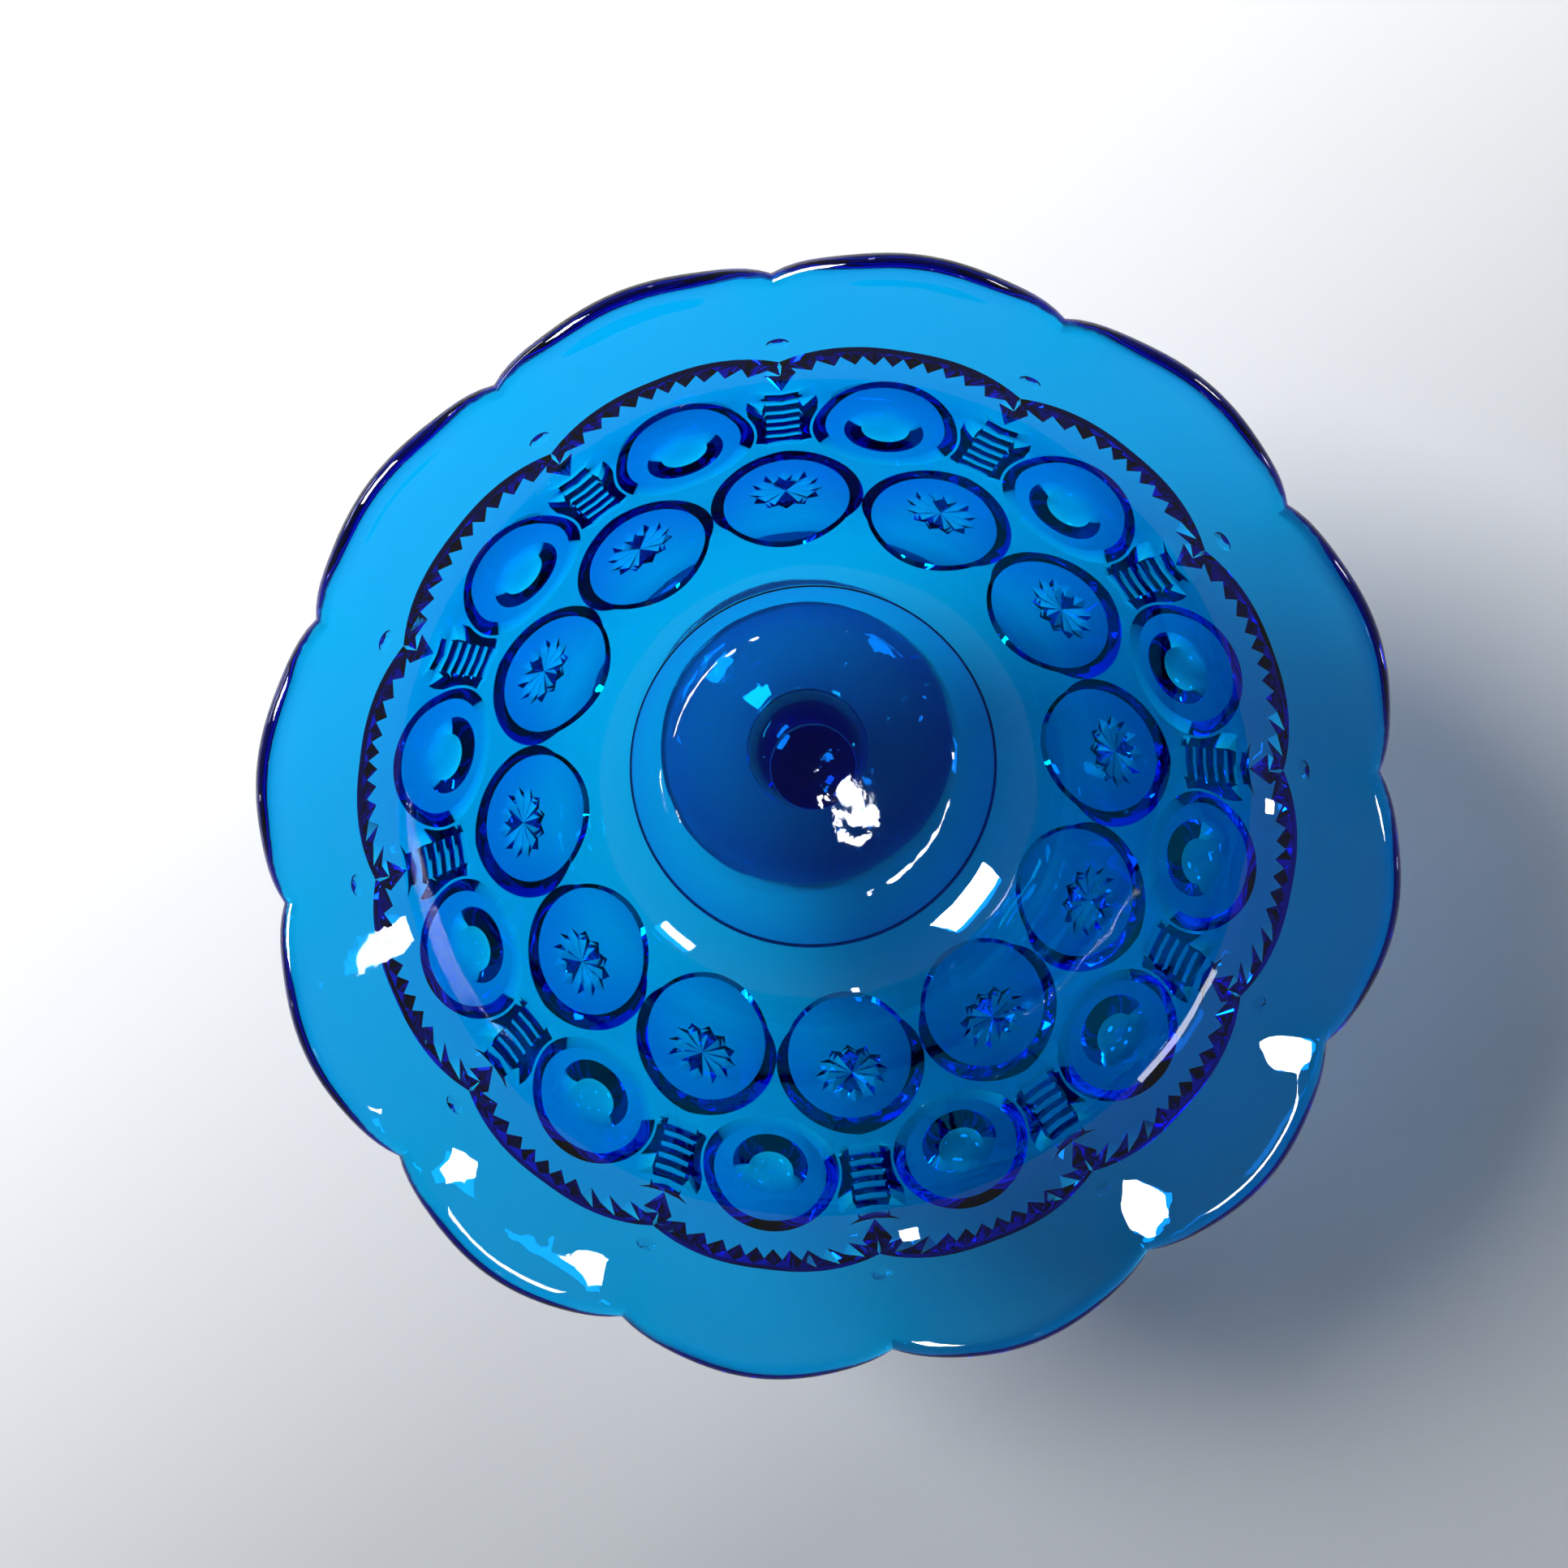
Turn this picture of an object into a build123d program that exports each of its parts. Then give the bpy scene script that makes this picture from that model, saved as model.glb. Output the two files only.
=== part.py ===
from build123d import *
import math
import os

# A footed bowl of pressed glass: a flared bowl with a scalloped rim, stuck by a wafer of glass to a
# knopped stem and a round foot. Millimetres, +Z up, origin at the middle of the foot's base.
# Angles are in degrees, and a lobe of the rim lies on +X.

# Bowl
bowl_height = 101.5        # underside of the floor to the inner edge of the lip
rim_radius = 127.0         # to the tips of the lobes
lobes = 12                 # round the rim, and as many medallions of each kind
scallop_depth = 5.5        # how far a notch comes in from the tips
notch_round = 16.0         # radius that rounds each notch
flare_radius = 99.9        # where the flared rim starts
flare_height = 72.1        # of that place above the underside of the floor
shoulder_radius = 60.5     # where the wall would meet the floor without its curve
belly_curve = 41.7         # radius that joins floor and wall
flare_curve = 28.0         # radius that joins wall and flare
wall = 5.0                 # wall, floor and flare
lip_round = 1.9            # rounding of the fire-polished lip
pad_radius = 49.0          # round pad that squares off the underside of the floor
pad_height = 0.8           # how far the pad reaches below the floor

# Medallions on the outside of the bowl
star_along = 1.0           # centre of a star disc up the wall from the end of the belly's curve
star_lean = 6.6            # how much less steep the face of a star disc is than the wall
star_height = 1.4          # how proud a star disc stands at its middle
star_gap = 0.6             # between neighbouring star discs
star_offset = 4.5          # middle of the star above the middle of its disc
star_points = 12
star_radius = 9.6
star_waist = 6.0           # radius between two points of a star
star_depth = 1.2
crescent_along = 42.1      # centre of a crescent disc, measured as for the stars
crescent_lean = 4.0
crescent_height = 2.5
crescent_disc_radius = 16.5
hollow_radius = 9.4        # of the round hollow that shows as a crescent from above
hollow_depth = 3.4
hollow_offset = 2.8        # middle of the hollow below the middle of its disc
disc_root = 3.2            # how deep a disc is rooted in the wall

# Wafer, stem and foot
wafer_radius = 11.5
wafer_height = 3.0
stem_height = 52.0
neck_radius = 9.5          # of the stem above and below its knop
knop_radius = 17.0
knop_height = 20.0
knop_along = 24.0          # middle of the knop above the stem's lower end
collar_radius = 12.5       # where the stem spreads onto the foot
foot_radius = 46.8
foot_height = 14.7         # up to the stem
foot_edge = 5.0            # thickness of the foot's rim
foot_edge_round = 1.6
base_ring = 7.0            # width of the flat ring that the foot stands on
base_hollow = 8.5          # height of the hollow inside that ring

# Heights of the joints above the table
stem_base = foot_height
wafer_base = stem_base + stem_height
bowl_base = wafer_base + wafer_height + pad_height

pitch = 360 / lobes
wall_slope = math.degrees(math.atan2(flare_height, flare_radius - shoulder_radius))


def wall_line(inset):
    """Corners, radii and end of the bowl's outline, moved inwards by inset from its outside."""
    flare_end = (rim_radius + 4 * wall, 0)
    rise = (bowl_height - wall - flare_height) / (rim_radius - flare_radius)
    corners = [
        Vector(0, 0),
        Vector(shoulder_radius, 0),
        Vector(flare_radius, flare_height),
        Vector(flare_end[0], flare_height + rise * (flare_end[0] - flare_radius)),
    ]
    ways = [(b - a).normalized() for a, b in zip(corners, corners[1:])]
    normals = [Vector(-way.Y, way.X) for way in ways]
    moved = [corners[0] + normals[0] * inset]
    for corner, before, after in zip(corners[1:], normals, normals[1:]):
        moved.append(corner + (before + after) * (inset / (1 + before.dot(after))))
    moved.append(corners[-1] + normals[-1] * inset)
    return moved, [belly_curve - inset, flare_curve + inset]


def wall_face():
    """Half section of the bowl, running past the rim so that the scallops trim it."""
    outer, outer_radii = wall_line(0)
    inner, inner_radii = wall_line(wall)
    with BuildSketch(Plane.XZ) as section:
        with BuildLine():
            outside = FilletPolyline(*outer, radius=outer_radii)
            inside = FilletPolyline(*inner, radius=inner_radii)
            Line(outside @ 1, inside @ 1)
            Line(outside @ 0, inside @ 0)
        make_face()
    return section.sketch


def scalloped_outline():
    """Plan of the rim: one arc for each lobe, with rounded notches between them."""
    notch_radius = rim_radius - scallop_depth

    def at(radius, angle):
        return (radius * math.cos(math.radians(angle)), radius * math.sin(math.radians(angle)))

    with BuildSketch() as plan:
        with BuildLine():
            for lobe in range(lobes):
                middle = lobe * pitch
                start = at(notch_radius, middle - pitch / 2)
                end = at(notch_radius, middle + pitch / 2)
                ThreePointArc(start, at(rim_radius, middle), end)
        make_face()
        fillet(plan.vertices(), radius=notch_round)
    return plan.sketch


def wall_radius(along):
    """Distance from the axis to the outside of the wall, above the end of the belly's curve."""
    slope = math.radians(wall_slope)
    start = belly_curve * math.tan(slope / 2) + along
    return shoulder_radius + start * math.cos(slope)


def on_wall(along, lean, shape):
    """Places a shape on the wall at +X, its Z axis pointing out of the glass and -X up the wall."""
    radius = wall_radius(along)
    height = (radius - shoulder_radius) * math.tan(math.radians(wall_slope))
    return Pos(radius, 0, height) * Rot(0, 180 - wall_slope + lean, 0) * shape


def disc(radius, height):
    return extrude(Circle(radius), disc_root + height).moved(Pos(0, 0, -disc_root))


def star_disc():
    """Round boss with a star sunk into it. Its radius lets it all but touch its neighbours."""
    radius = wall_radius(star_along) * math.tan(math.radians(pitch / 2)) - star_gap / 2
    turn = 180 / star_points
    points = []
    for k in range(2 * star_points):
        reach = star_radius if k % 2 == 0 else star_waist
        angle = math.radians(k * turn)
        points.append((reach * math.cos(angle), reach * math.sin(angle)))
    star = extrude(Polygon(*points, align=None), 2 * star_depth)
    star = star.moved(Pos(-star_offset, 0, star_height - star_depth))
    return on_wall(star_along, star_lean, disc(radius, star_height) - star)


def crescent_disc():
    """Round boss with a hollow like the inside of a ball, set towards its lower edge."""
    ball = (hollow_radius**2 + hollow_depth**2) / (2 * hollow_depth)
    hollow = Pos(hollow_offset, 0, crescent_height - hollow_depth + ball) * Sphere(ball)
    boss = disc(crescent_disc_radius, crescent_height) - hollow
    return on_wall(crescent_along, crescent_lean, boss)


def bowl():
    body = revolve(wall_face(), Axis.Z)
    body &= extrude(scalloped_outline(), 2 * bowl_height)
    scallops = body.edges().filter_by(GeomType.BSPLINE)
    body = fillet(scallops, lip_round)
    body += Pos(0, 0, -pad_height) * extrude(Circle(pad_radius), pad_height + wall / 2)
    crescents = [crescent_disc().rotate(Axis.Z, k * pitch) for k in range(lobes)]
    stars = [star_disc().rotate(Axis.Z, (k + 0.5) * pitch) for k in range(lobes)]
    body = body + crescents + stars
    return body.moved(Pos(0, 0, bowl_base))


def joining_wafer():
    wafer = extrude(Circle(wafer_radius), wafer_height)
    return wafer.moved(Pos(0, 0, wafer_base))


def stem():
    """Turned stem: spreads at both ends and swells into a round knop."""
    low = knop_along - knop_height / 2
    high = knop_along + knop_height / 2
    with BuildSketch(Plane.XZ) as section:
        with BuildLine():
            foot_flare = Spline(
                (collar_radius, 0),
                (neck_radius, low),
                tangents=[(-1, 2), (0, 1)],
            )
            knop = ThreePointArc(foot_flare @ 1, (knop_radius, knop_along), (neck_radius, high))
            Spline(
                knop @ 1,
                (wafer_radius, stem_height),
                tangents=[(0, 1), (1, 2)],
            )
            Polyline((wafer_radius, stem_height), (0, stem_height), (0, 0), (collar_radius, 0))
        make_face()
    return revolve(section.sketch, Axis.Z).moved(Pos(0, 0, stem_base))


def foot():
    """Domed disc that stands on a flat ring, hollow inside the ring."""
    inner = foot_radius - base_ring
    with BuildSketch(Plane.XZ) as section:
        with BuildLine():
            dome = Spline(
                (collar_radius, foot_height),
                (foot_radius, foot_edge),
                tangents=[(1, -1.2), (1, -0.15)],
            )
            Polyline(dome @ 1, (foot_radius, 0), (0, 0), (0, foot_height), dome @ 0)
        make_face()
    ball = (inner**2 + base_hollow**2) / (2 * base_hollow)
    body = revolve(section.sketch, Axis.Z)
    body -= Pos(0, 0, base_hollow - ball) * Sphere(ball)
    circles = body.edges().filter_by(GeomType.CIRCLE)
    rim = [edge for edge in circles if abs(edge.radius - foot_radius) < 0.01]
    return fillet(rim, foot_edge_round)


pieces = {"bowl": bowl(), "joining_wafer": joining_wafer(), "stem": stem(), "foot": foot()}

os.makedirs("parts", exist_ok=True)
for name, piece in pieces.items():
    export_step(piece, f"parts/{name}.step")
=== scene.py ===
import math

import bmesh
import bpy
from bpy.props import FloatProperty, FloatVectorProperty, IntProperty, PointerProperty
from mathutils import Matrix, Vector
from mathutils.geometry import delaunay_2d_cdt


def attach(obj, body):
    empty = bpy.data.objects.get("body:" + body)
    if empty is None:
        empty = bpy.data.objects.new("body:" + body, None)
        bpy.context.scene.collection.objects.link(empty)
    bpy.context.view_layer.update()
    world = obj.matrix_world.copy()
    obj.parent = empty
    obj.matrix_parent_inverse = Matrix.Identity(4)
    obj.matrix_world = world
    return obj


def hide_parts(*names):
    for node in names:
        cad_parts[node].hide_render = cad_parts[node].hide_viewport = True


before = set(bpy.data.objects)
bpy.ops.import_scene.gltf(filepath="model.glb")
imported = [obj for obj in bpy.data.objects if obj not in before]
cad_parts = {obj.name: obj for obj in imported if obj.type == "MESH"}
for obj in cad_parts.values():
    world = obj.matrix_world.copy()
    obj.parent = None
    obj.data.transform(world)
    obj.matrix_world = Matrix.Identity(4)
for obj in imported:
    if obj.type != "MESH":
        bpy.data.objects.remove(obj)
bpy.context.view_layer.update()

bl_info = {
    "name": "Footed glass bowl",
    "version": (1, 0, 0),
    "blender": (4, 5, 0),
    "location": "3D View > Sidebar > Glass bowl",
    "description": "A pressed blue glass bowl on a knopped stem, with star and crescent discs",
    "category": "Add Mesh",
}

BODY = "root"
MM = 0.001
AIR = 0.04          # mm between two pieces, so that their glass surfaces never coincide

# Lengths in mm up the outside of the bowl, and angles of the flat faces to the wall
STAR_PLANE_AT = 81.4
STAR_LEAN = math.radians(6.6)
MOON_LEAN = math.radians(4.0)
DISC_CORNER = 86.6      # where the ground beside a crescent disc meets a star disc
LENS_AT = 150.6         # small lens above each notch
LENS_HALF = (2.6, 1.4)  # half its width and half its height


# ---------------------------------------------------------------- sizes and colours


def length(name, millimetres, says):
    return FloatProperty(
        name=name, description=says, default=millimetres * MM, min=0.0, precision=4, unit="LENGTH"
    )


def colour(name, code, says):
    return FloatVectorProperty(
        name=name, description=says, default=linear(code), size=3, min=0.0, max=1.0, subtype="COLOR"
    )


def linear(code):
    """Scene-linear colour of an sRGB hex code."""
    parts = [int(code[k : k + 2], 16) / 255 for k in (1, 3, 5)]
    return tuple(c / 12.92 if c <= 0.04045 else ((c + 0.055) / 1.055) ** 2.4 for c in parts)


class BowlSizes(bpy.types.PropertyGroup):
    height: length("Height", 101.5, "Underside of the floor to the inner edge of the lip")
    base: length("Base", 70.5, "Height of the floor's underside above the table")
    rim_radius: length("Rim radius", 127.0, "To the tips of the lobes")
    scallop_depth: length("Scallop depth", 5.5, "How far a notch comes in from the tips")
    notch_round: length("Notch rounding", 16.0, "Radius that rounds each notch")
    flare_radius: length("Flare radius", 99.9, "Where the flared rim starts")
    flare_height: length("Flare height", 72.1, "Of that place above the floor's underside")
    shoulder_radius: length("Shoulder radius", 60.5, "Where wall and floor would meet")
    belly_curve: length("Belly curve", 41.7, "Radius that joins floor and wall")
    flare_curve: length("Flare curve", 28.0, "Radius that joins wall and flare")
    wall: length("Wall", 5.0, "Thickness of wall, floor and flare")
    pad_radius: length("Pad radius", 49.0, "Round pad under the floor")
    pad_height: length("Pad height", 0.8, "How far the pad stands below the floor")
    lobes: IntProperty(
        name="Lobes", description="Lobes of the rim and discs of each kind", default=12, min=3
    )


class ReliefSizes(bpy.types.PropertyGroup):
    star_proud: length("Star disc height", 1.4, "How proud the flat face stands at its middle")
    star_face_across: length("Star face half width", 16.1, "Of the flat face, around the bowl")
    star_face_up: length("Star face half height", 20.1, "Of the flat face, up the wall")
    star_face_middle: length("Star face", 83.3, "Middle of the flat face along the wall")
    star_centre: length("Star centre", 89.0, "Middle of the star along the wall")
    star_radius: length("Star radius", 9.6, "To the points of the star")
    star_depth: length("Star depth", 2.2, "Of the star's grooves")
    moon_middle: length("Crescent disc", 122.5, "Middle of a crescent disc along the wall")
    moon_radius: length("Crescent disc radius", 17.2, "At its foot")
    moon_face_across: length("Crescent face half width", 14.0, "Of the flat face, around the bowl")
    moon_face_up: length("Crescent face half height", 14.3, "Of the flat face, up the wall")
    moon_face_middle: length("Crescent face", 121.7, "Middle of the flat face along the wall")
    moon_proud: length("Crescent disc height", 2.5, "How proud the face stands at its middle")
    hollow_middle: length("Hollow", 119.7, "Middle of the crescent's round hollow along the wall")
    hollow_radius: length("Hollow radius", 9.4, "Of that hollow")
    ball_radius: length("Ball radius", 5.7, "Of the ball that rises in the hollow, at its rim side")
    ball_sunk: length("Ball depth", 2.0, "Of the ball's middle below the disc's face")
    hollow_depth: length("Hollow depth", 3.3, "Of the crescent, along the ball")
    fan_proud: length("Fan height", 1.2, "How proud the toothed fan round a crescent disc stands")
    fan_sunk: length("Border depth", 1.8, "How deep the teeth run below the plain band")
    teeth_pitch: FloatProperty(
        name="Teeth pitch", description="Angle between two teeth of the fan", default=math.radians(10.3),
        subtype="ANGLE",
    )


class StemSizes(bpy.types.PropertyGroup):
    wafer_radius: length("Wafer radius", 11.5, "Of the glass wafer that joins bowl and stem")
    wafer_height: length("Wafer height", 3.0, "Of that wafer")
    height: length("Stem height", 52.0, "Between foot and wafer")
    neck_radius: length("Neck radius", 9.5, "Of the stem above and below its knop")
    knop_radius: length("Knop radius", 17.0, "Of the round knop")
    knop_height: length("Knop height", 20.0, "Of the round knop")
    knop_along: length("Knop place", 24.0, "Middle of the knop above the foot")
    collar_radius: length("Collar radius", 12.5, "Where the stem spreads onto the foot")
    foot_radius: length("Foot radius", 46.8, "Of the round foot")
    foot_height: length("Foot height", 14.7, "Up to the stem")
    foot_edge: length("Foot edge", 5.0, "Thickness of the foot's rim")
    edge_round: length("Edge rounding", 1.6, "Of the foot's rim")
    base_ring: length("Base ring", 7.0, "Width of the ring that the foot stands on")
    base_hollow: length("Base hollow", 8.5, "Height of the hollow inside that ring")


class GlassFinish(bpy.types.PropertyGroup):
    tint: colour("Tint", "#00F1FD", "Colour that the light keeps as it crosses the glass")
    strength: FloatProperty(
        name="Strength", description="How fast the glass takes light out, per metre", default=1300.0
    )
    index: FloatProperty(name="Index", description="Index of refraction", default=1.52)
    # Painted light: the board's base colour runs between these two colours, lit near the window and shaded
    # away from it.
    table_light: colour("Table, lit side", "#FFFEFB", "White board nearer to the window")
    table_shade: colour("Table, far side", "#ACAFB1", "White board away from the window")


def in_mm(group):
    """The lengths of a group in millimetres, by name."""
    sizes = {}
    for name in group.bl_rna.properties.keys():
        value = getattr(group, name)
        if isinstance(value, float):
            sizes[name] = value / MM if group.bl_rna.properties[name].unit == "LENGTH" else value
        elif isinstance(value, int):
            sizes[name] = value
    return type("Sizes", (), sizes)


# ---------------------------------------------------------------- shared shapes


def aim(angle):
    return Vector((math.cos(angle), math.sin(angle)))


class Outline:
    """A half section's line of straight and curved runs, walked by the length along it."""

    def __init__(self, corners, radii):
        corners = [Vector(corner) for corner in corners]
        headings = [math.atan2(*reversed(b - a)) for a, b in zip(corners, corners[1:])]
        self.runs, point, along = [], corners[0], 0.0
        for corner, radius, before, after in zip(corners[1:], radii, headings, headings[1:]):
            turn = after - before
            cut = radius * math.tan(abs(turn) / 2)
            self.runs.append((along, point, before, 0.0))
            along += (corner - point).length - cut
            self.runs.append((along, corner - aim(before) * cut, before, math.copysign(1 / radius, turn)))
            along += radius * abs(turn)
            point = corner + aim(after) * cut
        self.runs.append((along, point, headings[-1], 0.0))

    def at(self, along):
        """Point and heading at a length along the line."""
        start, point, heading, bend = [run for run in self.runs if run[0] <= along + 1e-9][-1]
        step = along - start
        if not bend:
            return point + aim(heading) * step, heading
        turned = heading + step * bend
        swing = Vector((math.sin(turned) - math.sin(heading), math.cos(heading) - math.cos(turned)))
        return point + swing / bend, turned

    def reach(self, radius):
        """Length along the line to a radius on its last run."""
        start, point, heading, _ = self.runs[-1]
        return start + (radius - point.x) / math.cos(heading)


def bowl_outline(size):
    rise = (size.height - size.wall - size.flare_height) / (size.rim_radius - size.flare_radius)
    far = size.rim_radius + 20
    corners = [
        (0, 0),
        (size.shoulder_radius, 0),
        (size.flare_radius, size.flare_height),
        (far, size.flare_height + rise * (far - size.flare_radius)),
    ]
    return Outline(corners, [size.belly_curve, size.flare_curve])


def rim_reach(size, angle):
    """Radius of the scalloped edge at an angle from the middle of a lobe."""
    half = math.pi / size.lobes
    angle = abs((angle + half) % (2 * half) - half)
    notch = size.rim_radius - size.scallop_depth
    x, y = notch * math.cos(half), notch * math.sin(half)
    centre = (size.rim_radius**2 - x * x - y * y) / (2 * (size.rim_radius - x))
    lobe = size.rim_radius - centre
    reach = centre * math.cos(angle) + math.sqrt(lobe**2 - (centre * math.sin(angle)) ** 2)
    both = lobe + size.notch_round
    far = centre * math.cos(half) + math.sqrt(both**2 - (centre * math.sin(half)) ** 2)
    aside = far * math.sin(half - angle)
    if abs(aside) < size.notch_round:
        reach = min(reach, far * math.cos(half - angle) - math.sqrt(size.notch_round**2 - aside**2))
    return reach


def wave(outline, size, angle, along):
    """How far the flare is bent inwards: lobes curl up at the lip and notches droop."""
    half = math.pi / size.lobes
    lip = outline.reach(rim_reach(size, angle))
    droop_width, curl_length, sag_start, sag_length = math.radians(5.0), 9.0, 149.0, 20.0
    off = abs(angle % (2 * half) - half) / droop_width
    droop = math.exp(-off * off)
    curl = max(0.0, 1 - (lip - along) / curl_length) ** 2
    sag = min(max(0.0, (along - sag_start) / sag_length), 1.1) ** 2
    return 0.9 * curl * (1 - droop) - 2.6 * sag * droop


def on_wall(outline, size, angle, along, out=0.0):
    """Place on the bowl's outside, or off it by out along the wall's outward normal."""
    point, heading = outline.at(along)
    out -= wave(outline, size, angle, along)
    radius = point.x + math.sin(heading) * out
    height = point.y - math.cos(heading) * out + size.base
    return Vector((radius * math.cos(angle), radius * math.sin(angle), height))


# ---------------------------------------------------------------- pressed relief


class Cell:
    """Half a repeat of the relief, from the middle of a lobe to the middle of a notch.

    Places are angles round the bowl and lengths up its outside, each with a height off the wall.
    """

    def __init__(self, outline, size):
        self.outline, self.size = outline, size
        self.half = math.pi / size.lobes
        self.points, self.heights, self.edges, self.known = [], [], [], {}

    def flat(self, angle, along):
        return Vector((angle * self.outline.at(along)[0].x, along))

    def angle(self, place):
        return place.x / self.outline.at(place.y)[0].x

    def around(self, angle, along, across, up):
        """Flat place that lies across and up from a middle, measured on the cone of the wall."""
        point, heading = self.outline.at(along)
        slant = point.x / math.cos(heading)
        turn = math.atan2(across, slant + up) / math.cos(heading)
        angle = min(max(angle + turn, 0.0), self.half)
        return self.flat(angle, along + math.hypot(across, slant + up) - slant)

    def point(self, place, height):
        key = (round(place.x, 3), round(place.y, 3))
        if key not in self.known:
            self.known[key] = len(self.points)
            self.points.append(place)
            self.heights.append(height)
        return self.known[key]

    def line(self, places, heights, step=1.3):
        """Adds a line of places, broken into steps, with a height at each place."""
        last = None
        for k, (place, height) in enumerate(zip(places, heights)):
            if k:
                before, risen = places[k - 1], height - heights[k - 1]
                start, swing = self.angle(before), self.angle(place) - self.angle(before)
                parts = max(1, math.ceil((place - before).length / step))
                for part in range(1, parts):
                    share = part / parts
                    along = before.y + (place.y - before.y) * share
                    spot = self.flat(start + swing * share, along)
                    now = self.point(spot, heights[k - 1] + risen * share)
                    self.edges.append((last, now))
                    last = now
            now = self.point(place, height)
            if last is not None and now != last:
                self.edges.append((last, now))
            last = now

    def close_sides(self, low, high, ground, step=1.5):
        """Adds the two straight sides, through every place that already lies on them."""
        for side in (0.0, self.half):
            met = [k for k, p in enumerate(self.points) if abs(self.angle(p) - side) < 1e-6]
            taken = [self.points[k].y for k in met]
            for k in range(int((high(side) - low) / step) + 1):
                along = low + k * step
                if min(abs(along - other) for other in taken) < 0.7:
                    continue
                height = ground(side, along)
                if height is not None:
                    met.append(self.point(self.flat(side, along), height))
            met.sort(key=lambda k: self.points[k].y)
            self.edges += list(zip(met, met[1:]))

    def fill(self, low, high, ground, step):
        """Adds loose places on a staggered grid, clear of the lines."""
        fixed = list(self.points)
        row = 0
        along = low + step
        while along < high(0.0) - 0.5 * step:
            width = self.half * self.outline.at(along)[0].x
            across = step * (0.5 if row % 2 else 1.0)
            while across < width - 0.5 * step:
                place = Vector((across, along))
                angle = self.angle(place)
                if along < high(angle) - 0.5 * step:
                    height = ground(angle, along)
                    if height is not None and all((place - p).length > 0.55 * step for p in fixed):
                        self.point(place, height)
                across += step
            along += step * 0.866
            row += 1

    def mesh(self, place):
        """Triangles between all lines and places, as a bmesh."""
        found = delaunay_2d_cdt(self.points, self.edges, [], 1, 1e-4)
        spots, faces, origin = found[0], found[2], found[3]
        heights = [self.heights[o[0]] if o else None for o in origin]
        for k, height in enumerate(heights):
            if height is None:
                near = min(range(len(self.points)), key=lambda n: (self.points[n] - spots[k]).length)
                heights[k] = self.heights[near]
        mesh = bmesh.new()
        made = []
        for spot, height in zip(spots, heights):
            made.append(mesh.verts.new(place(self.angle(spot), spot.y, height)))
        for face in faces:
            mesh.faces.new([made[k] for k in face])
        return mesh


def half_circle(cell, angle, along, across, up, start, end, steps):
    """Places on an ellipse on the wall, by the turn from straight up the wall."""
    places = []
    for k in range(steps + 1):
        turn = start + (end - start) * k / steps
        places.append(cell.around(angle, along, across * math.sin(turn), up * math.cos(turn)))
    return places


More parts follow.
